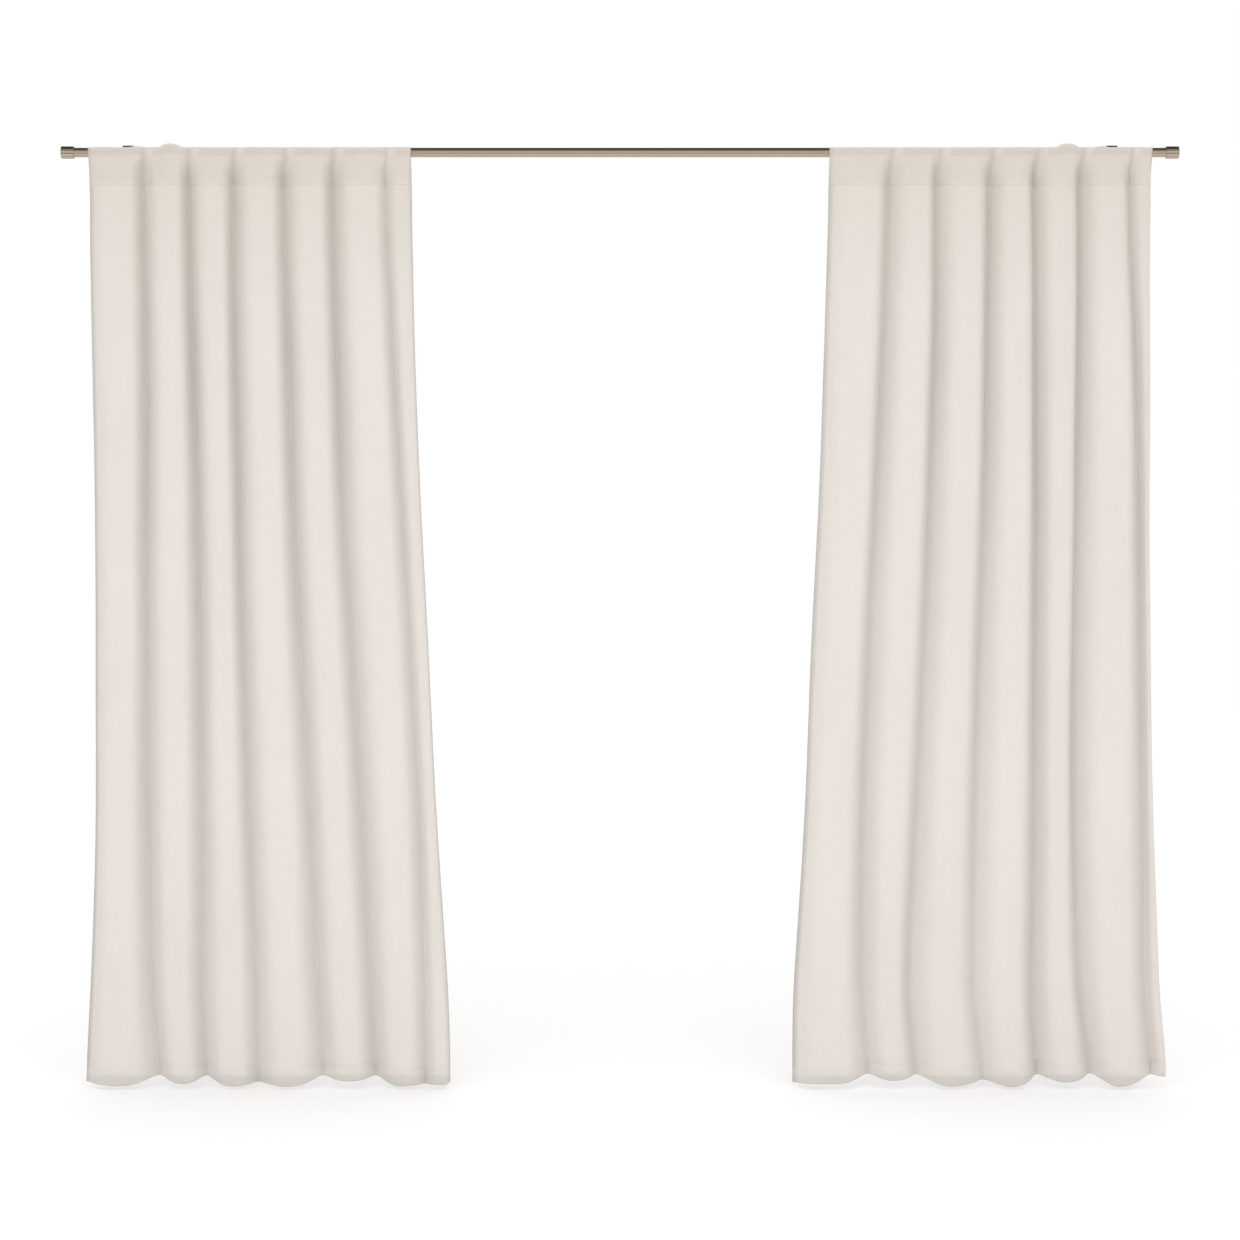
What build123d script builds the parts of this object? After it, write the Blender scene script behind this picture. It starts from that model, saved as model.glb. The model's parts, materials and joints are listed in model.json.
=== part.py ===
from build123d import *
import os
from math import ceil, cos, pi

# A pair of back-tab curtain panels on a round wall-mounted rod.
# Millimetres. +X runs along the rod, +Z is up, the wall is the plane Y = 0 and the room is on
# the -Y side. The origin is on the wall, midway between the brackets, level with the rod's axis.

# Rod
ROD_R = 12.5
ROD_WALL = 1.2
ROD_HALF = 1482.0
ROD_Y = -90.0
CONNECTOR_GAP = 0.1
CONNECTOR_WALL = 2.0
CONNECTOR_LENGTH = 160.0

# End caps, slid over the tube ends and held by a grub screw from below
CAP_R = 16.5
CAP_LENGTH = 35.0
CAP_OVERHANG = 6.0
CAP_COLLAR_R = 14.4
CAP_COLLAR_LENGTH = 2.2
CAP_CHAMFER = 0.7
CAP_SCREW_R = 2.0
CAP_SCREW_FROM_COLLAR = 14.0
CAP_SCREW_RECESS = 0.4
CAP_SCREW_SOCKET_R = 1.1
CAP_SCREW_SOCKET_DEPTH = 2.0

# Brackets
BRACKET_X = 1309.0
PLATE_R = 30.0
PLATE_THICK = 4.5
PLATE_FILLET = 1.2
WALL_HOLE_R = 2.5
WALL_HOLE_SINK_R = 4.6
WALL_HOLE_SPACING = 40.0
ARM_R = 7.0
ARM_SCREW_R = 3.0
ARM_SCREW_HEAD_R = 5.6
ARM_SCREW_LENGTH = 18.0
ARM_SCREW_SOCKET_R = 2.1
ARM_SCREW_SOCKET_DEPTH = 2.4
ARM_SADDLE_DEPTH = 2.0
BORE_END_GAP = 1.0
RING_R = 18.5
RING_WIDTH = 29.0
RING_CHAMFER = 0.8
SPIGOT_R = 4.0
SPIGOT_LENGTH = 13.0
BOSS_R = 6.0
BOSS_DROP = 4.0

# Thumb screws that lock the rod in the brackets
LOCK_SCREW_R = 2.5
LOCK_KNOB_R = 7.0
LOCK_KNOB_HEIGHT = 8.0
LOCK_KNOB_FLUTES = 14
LOCK_FLUTE_R = 0.9
LOCK_TIP_GAP = 0.25

# Clearances between pieces
SLIP_FIT = 0.05
FACE_GAP = 0.1
TAB_CLEARANCE = 0.5

# How far a cut runs past the face that it opens
OVERCUT = 1.0

# Curtain panels
CLOTH_THICK = 1.5
HEADING_TOP = 10.5
HEADING_HEIGHT = 100.0
PANEL_LENGTH = 2490.0
STRIP_GAP = 1.0
STEPS_PER_SIDE = 5

# Back tabs, one behind the ridge of each pleat
TAB_WIDTH = 20.0
TAB_THICK = 1.2
TAB_DROP = 70.0
TAB_BELOW_EDGE = 1.0
TAB_FRONT_Y = -109.5

# How deep the pleats are, from heading to hem: (height, y of the furrows, y of the ridges)
PLEAT_DEPTHS = (
    (HEADING_TOP, -112.5, -116.0),
    (HEADING_TOP - HEADING_HEIGHT, -99.0, -118.0),
    (HEADING_TOP - 180.0, -88.0, -126.0),
    (HEADING_TOP - 265.0, -80.0, -133.0),
    (HEADING_TOP - 365.0, -75.0, -138.0),
    (HEADING_TOP - PANEL_LENGTH, -66.0, -146.0),
)
LEVEL_SPACING = 270.0

# Where each panel's furrows stand along the rod, at the heading and at the hem, with its two side
# edges as the first and last, and where its tabs are. The panels are alike and hang the same way
# round, so neither list is the other's mirror image.
PANELS = {
    "left": {
        "heading": (-1414, -1275, -1153, -1033, -899, -769, -628, -556),
        "hem": (-1422, -1243, -1121, -966, -798, -657, -516, -444),
        "tabs": (-1344, -1219, -1089, -961, -833, -705, -588),
    },
    "right": {
        "heading": (556, 718, 843, 985, 1102, 1225, 1355, 1414),
        "hem": (452, 638, 761, 929, 1086, 1219, 1387, 1440),
        "tabs": (649, 779, 907, 1042, 1162, 1283, 1387),
    },
}

SIDES = {"left": -1, "right": 1}


def along_x(radius, start, end, y=ROD_Y, z=0.0):
    """A round bar between two X positions."""
    bar = Cylinder(radius, abs(end - start), rotation=(0, 90, 0))
    return Pos((start + end) / 2, y, z) * bar


def along_y(radius, start, end, x, z=0.0):
    """A round bar between two Y positions."""
    bar = Cylinder(radius, abs(end - start), rotation=(90, 0, 0))
    return Pos(x, (start + end) / 2, z) * bar


def along_z(radius, start, end, x, y=ROD_Y):
    """A round bar between two Z positions."""
    return Pos(x, y, (start + end) / 2) * Cylinder(radius, abs(end - start))


def cone_y(radius_start, radius_end, start, end, x, z=0.0):
    """A round taper between two Y positions, where end is nearer the room."""
    taper = Cone(radius_start, radius_end, abs(end - start), rotation=(90, 0, 0))
    return Pos(x, (start + end) / 2, z) * taper


def rod_tube(side):
    """Half of the rod: a plain tube from the middle joint to its end cap."""
    end = side * ROD_HALF
    past = end + side * OVERCUT
    return along_x(ROD_R, 0, end) - along_x(ROD_R - ROD_WALL, -side * OVERCUT, past)


def rod_connector():
    """The sleeve inside both tubes that joins them end to end."""
    outer = ROD_R - ROD_WALL - CONNECTOR_GAP
    half = CONNECTOR_LENGTH / 2
    past = half + OVERCUT
    sleeve = along_x(outer, -half, half)
    return sleeve - along_x(outer - CONNECTOR_WALL, -past, past)


def cap_screw_x(side):
    """Where the grub screw of an end cap stands along the rod."""
    return side * (ROD_HALF + CAP_OVERHANG - CAP_LENGTH + CAP_SCREW_FROM_COLLAR)


def end_cap(side):
    """A blind cylinder over the tube's end, with a narrow collar where it meets the rod."""
    tip = side * (ROD_HALF + CAP_OVERHANG)
    mouth = tip - side * CAP_LENGTH
    shoulder = mouth + side * CAP_COLLAR_LENGTH
    drum = chamfer(along_x(CAP_R, shoulder, tip).edges(), CAP_CHAMFER)
    collar = along_x(CAP_COLLAR_R, mouth, shoulder + side * CAP_CHAMFER)
    socket = along_x(ROD_R + SLIP_FIT, mouth - side * OVERCUT, side * (ROD_HALF + FACE_GAP))
    screw_hole = along_z(CAP_SCREW_R + SLIP_FIT, 0, -CAP_R - OVERCUT, cap_screw_x(side))
    return drum + collar - socket - screw_hole


def cap_set_screw(side):
    """The grub screw that holds an end cap, with a hexagon socket in its foot."""
    x = cap_screw_x(side)
    top = -ROD_R - FACE_GAP
    bottom = -CAP_R + CAP_SCREW_RECESS
    socket = extrude(RegularPolygon(CAP_SCREW_SOCKET_R, 6), CAP_SCREW_SOCKET_DEPTH)
    return along_z(CAP_SCREW_R, top, bottom, x) - Pos(x, ROD_Y, bottom) * socket


def wall_plate(side):
    """The round plate on the wall, with two screw holes and a hole for the arm's screw."""
    x = side * BRACKET_X
    plate = along_y(PLATE_R, 0, -PLATE_THICK, x)
    plate = fillet(plate.edges().sort_by(Axis.Y)[0], PLATE_FILLET)
    past = -PLATE_THICK - OVERCUT
    for z in (-WALL_HOLE_SPACING / 2, WALL_HOLE_SPACING / 2):
        plate -= along_y(WALL_HOLE_R, OVERCUT, past, x, z)
        sink_depth = WALL_HOLE_SINK_R - WALL_HOLE_R
        plate -= cone_y(WALL_HOLE_R, WALL_HOLE_SINK_R, sink_depth - PLATE_THICK, -PLATE_THICK, x, z)
    plate -= along_y(ARM_SCREW_R + SLIP_FIT, OVERCUT, past, x)
    sink_r = ARM_SCREW_HEAD_R + 2 * FACE_GAP
    return plate - cone_y(sink_r, ARM_SCREW_R, 0, ARM_SCREW_R - sink_r, x)


def arm_screw(side):
    """The countersunk screw from behind the plate into the arm."""
    x = side * BRACKET_X
    head_depth = ARM_SCREW_HEAD_R - ARM_SCREW_R
    back = -FACE_GAP
    head = cone_y(ARM_SCREW_HEAD_R, ARM_SCREW_R, back, back - head_depth, x)
    shank = along_y(ARM_SCREW_R, back - head_depth, back - ARM_SCREW_LENGTH, x)
    socket = extrude(RegularPolygon(ARM_SCREW_SOCKET_R, 6), ARM_SCREW_SOCKET_DEPTH)
    placed = Pos(x, back, 0) * Rot(90, 0, 0) * socket
    return head + shank - placed


def bracket_arm(side):
    """The bar from the plate to the ring, hollowed to the ring's curve at its front end."""
    x = side * BRACKET_X
    arm = along_y(ARM_R, -PLATE_THICK, ROD_Y + RING_R - ARM_SADDLE_DEPTH, x)
    arm -= along_x(RING_R + SLIP_FIT, x - ARM_R - OVERCUT, x + ARM_R + OVERCUT)
    arm -= along_y(ARM_SCREW_R + SLIP_FIT, 0, -ARM_SCREW_LENGTH - BORE_END_GAP, x)
    spigot_back = ROD_Y + RING_R + SPIGOT_LENGTH + BORE_END_GAP
    return arm - along_y(SPIGOT_R + SLIP_FIT, spigot_back, ROD_Y + ROD_R, x)


def bracket_ring(side):
    """The ring that carries the rod, with a spigot into the arm and a boss for the thumb screw."""
    x = side * BRACKET_X
    left = x - RING_WIDTH / 2
    right = x + RING_WIDTH / 2
    ring = chamfer(along_x(RING_R, left, right).edges(), RING_CHAMFER)
    ring += along_y(SPIGOT_R, ROD_Y + ROD_R, ROD_Y + RING_R + SPIGOT_LENGTH, x)
    ring += along_z(BOSS_R, -ROD_R, -RING_R - BOSS_DROP, x)
    ring -= along_x(ROD_R + SLIP_FIT, left - OVERCUT, right + OVERCUT)
    return ring - along_z(LOCK_SCREW_R + SLIP_FIT, 0, -RING_R - BOSS_DROP - OVERCUT, x)


def lock_screw(side):
    """The thumb screw below the ring, with a fluted knob, whose tip bears on the rod."""
    x = side * BRACKET_X
    knob_top = -RING_R - BOSS_DROP - TAB_CLEARANCE
    knob_bottom = knob_top - LOCK_KNOB_HEIGHT
    knob = chamfer(along_z(LOCK_KNOB_R, knob_top, knob_bottom, x).edges(), CAP_CHAMFER)
    flute = along_z(LOCK_FLUTE_R, knob_top + OVERCUT, knob_bottom - OVERCUT, 0, 0)
    for spot in PolarLocations(LOCK_KNOB_R, LOCK_KNOB_FLUTES):
        knob -= Pos(x, ROD_Y, 0) * spot * flute
    return knob + along_z(LOCK_SCREW_R, -ROD_R - LOCK_TIP_GAP, knob_top, x)


def tab_outline(margin):
    """A tab's outline seen from the end of the rod, drawn round the rod and a flat front leg."""
    clear = ROD_R + TAB_CLEARANCE
    corner = TAB_THICK / 2
    top = HEADING_TOP - TAB_BELOW_EDGE - TAB_THICK - corner
    front = [Pos(TAB_FRONT_Y, top), Pos(TAB_FRONT_Y, -TAB_DROP)]
    circles = [Pos(ROD_Y, 0) * Circle(clear + margin)]
    circles += [place * Circle(corner + margin) for place in front]
    edges = ShapeList(edge for circle in circles for edge in circle.edges())
    return make_hull(edges)


def back_tab(x):
    """One back tab: a cloth loop that the rod runs through, sewn to the heading along its front."""
    band = tab_outline(TAB_THICK) - tab_outline(0)
    start = Plane((x - TAB_WIDTH / 2, 0, 0), x_dir=(0, 1, 0), z_dir=(1, 0, 0))
    return extrude(start * band, TAB_WIDTH)


def pleat_levels():
    """The heights at which a pleat is cut, each with its furrow and ridge depths."""
    levels = [PLEAT_DEPTHS[0]]
    for above, below in zip(PLEAT_DEPTHS, PLEAT_DEPTHS[1:]):
        count = ceil((above[0] - below[0]) / LEVEL_SPACING)
        for step in range(1, count + 1):
            levels.append(tuple(a + (b - a) * step / count for a, b in zip(above, below)))
    return levels


def pleat_section(z, furrow_y, ridge_y, first, ridge, last):
    """A pleat cut level at height z: a thin wave from furrow to ridge to furrow."""
    line = []
    for step in range(2 * STEPS_PER_SIDE + 1):
        share = step / STEPS_PER_SIDE
        start, end = (first, ridge) if share <= 1 else (ridge, last)
        x = start + (end - start) * (share - (share > 1))
        height = (1 - cos(pi * share)) / 2
        line.append((x, furrow_y + (ridge_y - furrow_y) * height))
    half = CLOTH_THICK / 2
    front = [(x, y - half) for x, y in line]
    back = [(x, y + half) for x, y in reversed(line)]
    return Pos(0, 0, z) * make_face(Polyline(*front, *back, close=True))


def pleat(panel, index):
    """One pleat of a panel, from heading to hem, between the furrows on either side of a tab."""
    heading = panel["heading"][index : index + 2]
    hem = panel["hem"][index : index + 2]
    ridge_share = (panel["tabs"][index] - heading[0]) / (heading[1] - heading[0])
    heading_bottom = HEADING_TOP - HEADING_HEIGHT
    hem_z = HEADING_TOP - PANEL_LENGTH
    sections = []
    for z, furrow_y, ridge_y in pleat_levels():
        down = max(0.0, (heading_bottom - z) / (heading_bottom - hem_z))
        first, last = (a + (b - a) * down for a, b in zip(heading, hem))
        ridge = first + (last - first) * (ridge_share + (0.5 - ridge_share) * down)
        trim = STRIP_GAP / 2
        sections.append(pleat_section(z, furrow_y, ridge_y, first + trim, ridge, last - trim))
    return loft(sections, ruled=True)


def hardware():
    """Every rigid piece, by node name."""
    parts = {"rod_connector": rod_connector()}
    for name, side in SIDES.items():
        parts[f"{name}_rod_tube"] = rod_tube(side)
        parts[f"{name}_end_cap"] = end_cap(side)
        parts[f"{name}_cap_set_screw"] = cap_set_screw(side)
        parts[f"{name}_wall_plate"] = wall_plate(side)
        parts[f"{name}_arm_screw"] = arm_screw(side)
        parts[f"{name}_bracket_arm"] = bracket_arm(side)
        parts[f"{name}_bracket_ring"] = bracket_ring(side)
        parts[f"{name}_lock_screw"] = lock_screw(side)
    return parts


def curtains():
    """Every pleat and back tab, by node name, numbered along +X."""
    parts = {}
    for name, panel in PANELS.items():
        for index, x in enumerate(panel["tabs"]):
            parts[f"{name}_tab_{index + 1}"] = back_tab(x)
            parts[f"{name}_pleat_{index + 1}"] = pleat(panel, index)
    return parts


os.makedirs("parts", exist_ok=True)
for node, shape in {**hardware(), **curtains()}.items():
    export_step(shape, f"parts/{node}.step")
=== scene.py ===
import json
import math

import bmesh
import bpy
import numpy as np
from bpy.props import FloatProperty, FloatVectorProperty, IntProperty, PointerProperty
from mathutils import Matrix, Vector, noise


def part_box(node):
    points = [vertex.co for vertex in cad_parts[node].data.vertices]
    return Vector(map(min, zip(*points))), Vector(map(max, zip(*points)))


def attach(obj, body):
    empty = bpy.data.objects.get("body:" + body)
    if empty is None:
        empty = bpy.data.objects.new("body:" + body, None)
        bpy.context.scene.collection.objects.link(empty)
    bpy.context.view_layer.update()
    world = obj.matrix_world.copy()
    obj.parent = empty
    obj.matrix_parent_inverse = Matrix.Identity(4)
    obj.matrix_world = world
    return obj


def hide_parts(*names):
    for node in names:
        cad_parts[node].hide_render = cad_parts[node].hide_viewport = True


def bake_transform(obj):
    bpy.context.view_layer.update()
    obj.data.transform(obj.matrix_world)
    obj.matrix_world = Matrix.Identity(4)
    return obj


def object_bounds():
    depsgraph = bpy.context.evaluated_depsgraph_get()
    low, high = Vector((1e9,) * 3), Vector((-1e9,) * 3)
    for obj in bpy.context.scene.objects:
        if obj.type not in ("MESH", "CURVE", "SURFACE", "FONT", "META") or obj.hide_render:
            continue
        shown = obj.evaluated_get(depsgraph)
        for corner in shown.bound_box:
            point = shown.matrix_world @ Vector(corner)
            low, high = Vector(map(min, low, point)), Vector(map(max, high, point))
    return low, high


bl_info = {
    "name": "Curtains on a Rod",
    "version": (1, 0, 0),
    "blender": (4, 5, 0),
    "location": "3D View > Sidebar > Curtains",
    "description": "Dresses a pair of back-tab curtains on a metal rod",
    "category": "Object",
}

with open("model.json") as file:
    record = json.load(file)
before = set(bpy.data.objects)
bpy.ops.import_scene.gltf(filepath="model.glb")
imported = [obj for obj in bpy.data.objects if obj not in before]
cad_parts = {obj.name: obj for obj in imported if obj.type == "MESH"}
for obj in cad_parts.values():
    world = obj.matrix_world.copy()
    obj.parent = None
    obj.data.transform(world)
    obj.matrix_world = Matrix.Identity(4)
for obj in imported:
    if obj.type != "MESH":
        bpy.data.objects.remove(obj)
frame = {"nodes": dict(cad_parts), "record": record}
CAD_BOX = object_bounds()

PANELS = ("left", "right")
PLEATS = 7


def middle(node):
    """The centre of a CAD node's box."""
    low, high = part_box(node)
    return (Vector(low) + Vector(high)) / 2


ROD_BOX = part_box("left_rod_tube")
ROD_AXIS = middle("left_rod_tube")
ROD_RADIUS = (ROD_BOX[1][2] - ROD_BOX[0][2]) / 2
TAB_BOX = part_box("left_tab_1")
TAB_WIDTH = TAB_BOX[1][0] - TAB_BOX[0][0]
TAB_THICK = 0.0012
HEADING_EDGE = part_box("left_pleat_1")[1][2]
CLOTH_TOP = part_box("left_pleat_1")[1][2]
CLOTH_LENGTH = CLOTH_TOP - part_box("left_pleat_1")[0][2]

# Where each panel's furrows run, in metres along the rod, at several heights from heading to hem. The
# first and last are the panel's side edges.
FURROW_HEIGHTS = (-0.085, -0.42, -0.95, -1.75, -2.34, -2.48)
FURROWS = {
    "left": (
        (-1.414, -1.275, -1.153, -1.033, -0.899, -0.769, -0.628, -0.556),
        (-1.404, -1.264, -1.145, -1.029, -0.889, -0.762, -0.612, -0.548),
        (-1.396, -1.262, -1.128, -1.017, -0.869, -0.738, -0.583, -0.530),
        (-1.394, -1.260, -1.113, -0.988, -0.827, -0.688, -0.536, -0.490),
        (-1.414, -1.245, -1.115, -0.966, -0.797, -0.660, -0.518, -0.450),
        (-1.424, -1.220, -1.098, -0.962, -0.789, -0.648, -0.516, -0.452),
    ),
    "right": (
        (0.557, 0.718, 0.843, 0.985, 1.102, 1.225, 1.355, 1.415),
        (0.548, 0.704, 0.841, 0.981, 1.105, 1.219, 1.366, 1.404),
        (0.527, 0.677, 0.825, 0.970, 1.105, 1.212, 1.378, 1.400),
        (0.490, 0.647, 0.790, 0.944, 1.103, 1.207, 1.388, 1.412),
        (0.454, 0.643, 0.762, 0.936, 1.093, 1.223, 1.390, 1.435),
        (0.462, 0.667, 0.797, 0.976, 1.116, 1.262, 1.420, 1.454),
    ),
}

# How far each furrow sinks and each ridge stands out, as a share of the full depth of a fold, at the
# heading and at the hem
FURROW_SHARES = {
    "left": ((0.35, 1.0, 1.05, 0.95, 1.0, 1.05, 0.3, 0.35), (0.7, 0.75, 0.62, 0.5, 0.62, 0.7, 0.2, 0.5)),
    "right": ((0.4, 0.9, 1.0, 1.0, 1.0, 0.95, 0.3, 0.5), (0.7, 0.62, 0.52, 0.4, 0.7, 0.62, 0.2, 0.55)),
}
RIDGE_SHARES = {
    "left": (0.9, 1.0, 0.92, 1.0, 1.05, 0.95, 0.8),
    "right": (1.0, 0.9, 1.0, 0.95, 1.0, 1.05, 0.75),
}
# Where each ridge stands between its furrows at the hem
RIDGE_LEANS = {
    "left": (0.42, 0.46, 0.48, 0.40, 0.42, 0.50, 0.5),
    "right": (0.46, 0.44, 0.48, 0.45, 0.42, 0.42, 0.45),
}
HEADING_LEAN = 0.56
# How flat the ridges are, at the heading and at the hem; how much flatter on their right than on
# their left; how much steeper at a panel's side edges; and how round they start from a furrow
HEADING_FLATNESS = 2.7
HEM_FLATNESS = 2.0
RIGHT_FLATNESS = 0.4
EDGE_STEEPNESS = 1.5
FURROW_POWER = 0.75
# How far a ridge leans along the rod, for each metre that it stands out
OVERHANG = 0.13
# How far the furrows slant along the rod between the seam and the top edge, and how deep down
FURROW_SLANT = 0.009
SLANT_DEPTH = 0.07

# How far the hem is lifted at each furrow, and at each ridge
FURROW_LIFTS = {
    "left": (0.006, 0.022, 0.021, 0.005, 0.022, 0.021, 0.001, 0.006),
    "right": (0.004, 0.025, 0.025, 0.012, 0.023, 0.028, 0.026, 0.028),
}
RIDGE_LIFTS = {
    "left": (0.0, 0.006, -0.002, -0.002, 0.012, 0.0, 0.0),
    "right": (0.005, 0.013, -0.001, -0.004, 0.008, -0.001, 0.024),
}

# The y of the furrows and the ridges at full depth, from the top edge to the hem
DEPTH_HEIGHTS = (0.0107, -0.012, -0.045, -0.09, -0.2, -0.4, -1.2, -2.48)
FURROW_DEPTHS = (-0.1120, -0.1055, -0.0905, -0.0810, -0.0825, -0.084, -0.085, -0.082)
RIDGE_DEPTHS = (-0.1155, -0.1165, -0.1178, -0.1195, -0.126, -0.134, -0.138, -0.140)

# Where one fold of the heading stands above the rest: from, to, height
RISES = {
    "left": ((-1.222, -1.166, 0.0095), (-1.300, -1.266, 0.003)),
    "right": ((1.160, 1.219, 0.0095), (1.262, 1.296, 0.003)),
}

# Unevenness of the cloth: scale along the rod, scale down the cloth, place in the noise, size
SLOW_WAVE = (5.0, 1.1, 3.7, 0.004)
FINE_WAVE = (17.0, 2.2, 9.1, 0.0016)
CRISP_WAVE = (38.0, 3.0, 41.1, 0.0005)
SIDE_DRIFT = (5.0, 1.7, 21.3, 0.004)
HEADING_PULL = (34.0, 7.0, 30.1, 0.0016)
HEM_WAVE = (9.0, 0.0, 50.0, 0.003)
EDGE_WAVE = (22.0, 0.0, 60.0, 0.0008)
# How much the pulls at the heading lean along the rod, and how far apart the two panels' places are
PULL_SLANT = 9.0 / 34.0
PANEL_STEP = 3.0

# The line of stitches under the header draws the cloth in; the foot of each ridge curls back
SEAM_DENT = 0.0008
SEAM_HALF_WIDTH = 0.0022
HEM_CURL = 0.012
HEM_LIFT_REACH = 0.35

# Tones of the cloth: plain, and the edges of a tab. The rest is painted light and shade: how much darker the
# cloth is painted just under the header, where less light comes up from the floor, and how far down that
# reaches; painted light that brightens the doubled hem; and the shares of painted shade taken off at the
# side hems, in the furrows and on the underside of the hem's scallops
PLAIN_TONE = (1.0, 1.0, 1.0, 1.0)
EDGE_TONE = (0.96, 0.96, 0.96, 1.0)
UNDER_HEADER_PAINTED_SHADE = Vector((0.025, 0.03, 0.045))
UNDER_HEADER_REACH = 0.35
HEM_PAINTED_LIGHT = Vector((1.055, 1.06, 1.07))
SIDE_HEM_PAINTED_SHADE = 0.05
FURROW_PAINTED_SHADE = 0.08
FURROW_SHADE_RISE = 0.12
SCALLOP_PAINTED_SHADE = 0.08
SCALLOP_HEIGHT = 0.024
SCALLOP_RISE = 0.010
# Where the rod's painted shadow, seen through the cloth, starts and ends down the cloth, with how soft each
# end is; and how far its gap reaches across the cloth from each furrow, with how soft the gap's end is
ROD_PAINTED_SHADE = ((0.0025, 0.003), (0.0195, 0.004))
ROD_SHADE_GAP = (0.04, 0.008)


class ClothSettings(bpy.types.PropertyGroup):
    """Sizes and colours of the curtain panels."""

    flat_width: FloatProperty(
        name="Flat width", description="Width of one finished panel laid flat", default=1.45, unit="LENGTH"
    )
    heading: FloatProperty(
        name="Heading", description="Depth of the doubled band at the top", default=0.0995, unit="LENGTH"
    )
    hem: FloatProperty(name="Hem", description="Depth of the bottom hem", default=0.04, unit="LENGTH")
    side_hem: FloatProperty(name="Side hem", description="Width of a side hem", default=0.018, unit="LENGTH")
    thickness: FloatProperty(
        name="Thickness", description="Thickness of the cloth", default=0.0008, precision=4, unit="LENGTH"
    )
    colour: FloatVectorProperty(
        name="Cloth",
        description="Colour of the cloth",
        default=(0.80, 0.765, 0.727),
        size=3,
        subtype="COLOR",
    )
    tape: FloatVectorProperty(
        name="Heading tape",
        description="Colour of the tape",
        default=(0.78, 0.76, 0.72),
        size=3,
        subtype="COLOR",
    )
    tab: FloatVectorProperty(
        name="Tabs",
        description="Colour of the tabs",
        default=(0.68, 0.635, 0.58),
        size=3,
        subtype="COLOR",
    )
    thread: FloatVectorProperty(
        name="Thread",
        description="Colour of the thread",
        default=(0.55, 0.50, 0.44),
        size=3,
        subtype="COLOR",
    )
    # Painted light: the doubled header's tone stands in for how its two layers pass the light
    doubled: FloatVectorProperty(
        name="Doubled tone",
        description="Tone of the cloth where it is double",
        default=(1.045, 1.03, 1.005),
        size=3,
        soft_max=1.1,
    )
    # Painted shade: how dark the cloth is painted where the rod blocks the light from behind
    rod_painted_tone: FloatProperty(
        name="Rod tone",
        description="Tone of the cloth where the rod shows through",
        default=0.93,
        subtype="FACTOR",
    )
    see_through: FloatProperty(
        name="Translucency",
        description="Share of the light that passes",
        default=0.40,
        subtype="FACTOR",
    )
    columns: IntProperty(name="Columns", description="Mesh columns across one pleat", default=30)


class MetalSettings(bpy.types.PropertyGroup):
    """Colours of the rod and its brackets."""

    polish: FloatVectorProperty(
        name="Rod",
        description="Colour of the polished rod",
        default=(0.57, 0.49, 0.375),
        size=3,
        subtype="COLOR",
    )
    satin: FloatVectorProperty(
        name="Bracket",
        description="Colour of the brackets",
        default=(0.50, 0.44, 0.35),
        size=3,
        subtype="COLOR",
    )
    steel: FloatVectorProperty(
        name="Screws",
        description="Colour of the screws",
        default=(0.55, 0.55, 0.53),
        size=3,
        subtype="COLOR",
    )


class StageSettings(bpy.types.PropertyGroup):
    """The floor, light and camera."""

    floor_gap: FloatProperty(
        name="Floor gap", description="Space under the hem", default=0.012, unit="LENGTH"
    )
    distance: FloatProperty(
        name="Camera distance", description="From the camera to the rod", default=6.5, unit="LENGTH"
    )
    eye: FloatProperty(
        name="Camera height", description="Height of the camera, from the rod", default=-1.0, unit="LENGTH"
    )
    centre: FloatProperty(
        name="View centre", description="Height at the middle of the view", default=-1.246, unit="LENGTH"
    )
    view_width: FloatProperty(
        name="View width", description="Width seen at the rod", default=3.305, unit="LENGTH"
    )


# ---------------------------------------------------------------- the hanging cloth


def glide(height, knots, values):
    """Values carried smoothly from one height to the next, as columns of an array."""
    knots = np.array(knots, float)
    values = np.array(values, float)
    slopes = np.gradient(values, knots, axis=0)
    height = float(np.clip(height, knots.min(), knots.max()))
    index = int(np.clip(np.searchsorted(-knots, -height) - 1, 0, len(knots) - 2))
    span = knots[index + 1] - knots[index]
    t = (height - knots[index]) / span
    start, end = values[index], values[index + 1]
    rise, fall = slopes[index] * span, slopes[index + 1] * span
    return (
        start * (2 * t**3 - 3 * t**2 + 1)
        + rise * (t**3 - 2 * t**2 + t)
        + end * (3 * t**2 - 2 * t**3)
        + fall * (t**3 - t**2)
    )


def steady(height, knots, values, reach=0.16):
    """Values carried straight from one height to the next, with the corners rounded off."""
    near = height + np.linspace(-reach, reach, 9)
    knots = np.array(knots)[::-1]
    columns = np.array(values).T[:, ::-1]
    return np.array([np.interp(near, knots, column).mean() for column in columns])


def ease(t):
    """A smooth step from 0 to 1."""
    t = np.clip(t, 0.0, 1.0)
    return t * t * (3 - 2 * t)


def uneven(wave, x, z, shift=0.0):
    """Smooth unevenness at a place, with a shift that makes one panel unlike the other."""
    along, down, place, size = wave
    return size * noise.noise(Vector((x * along, z * down, place + shift)))


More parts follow.
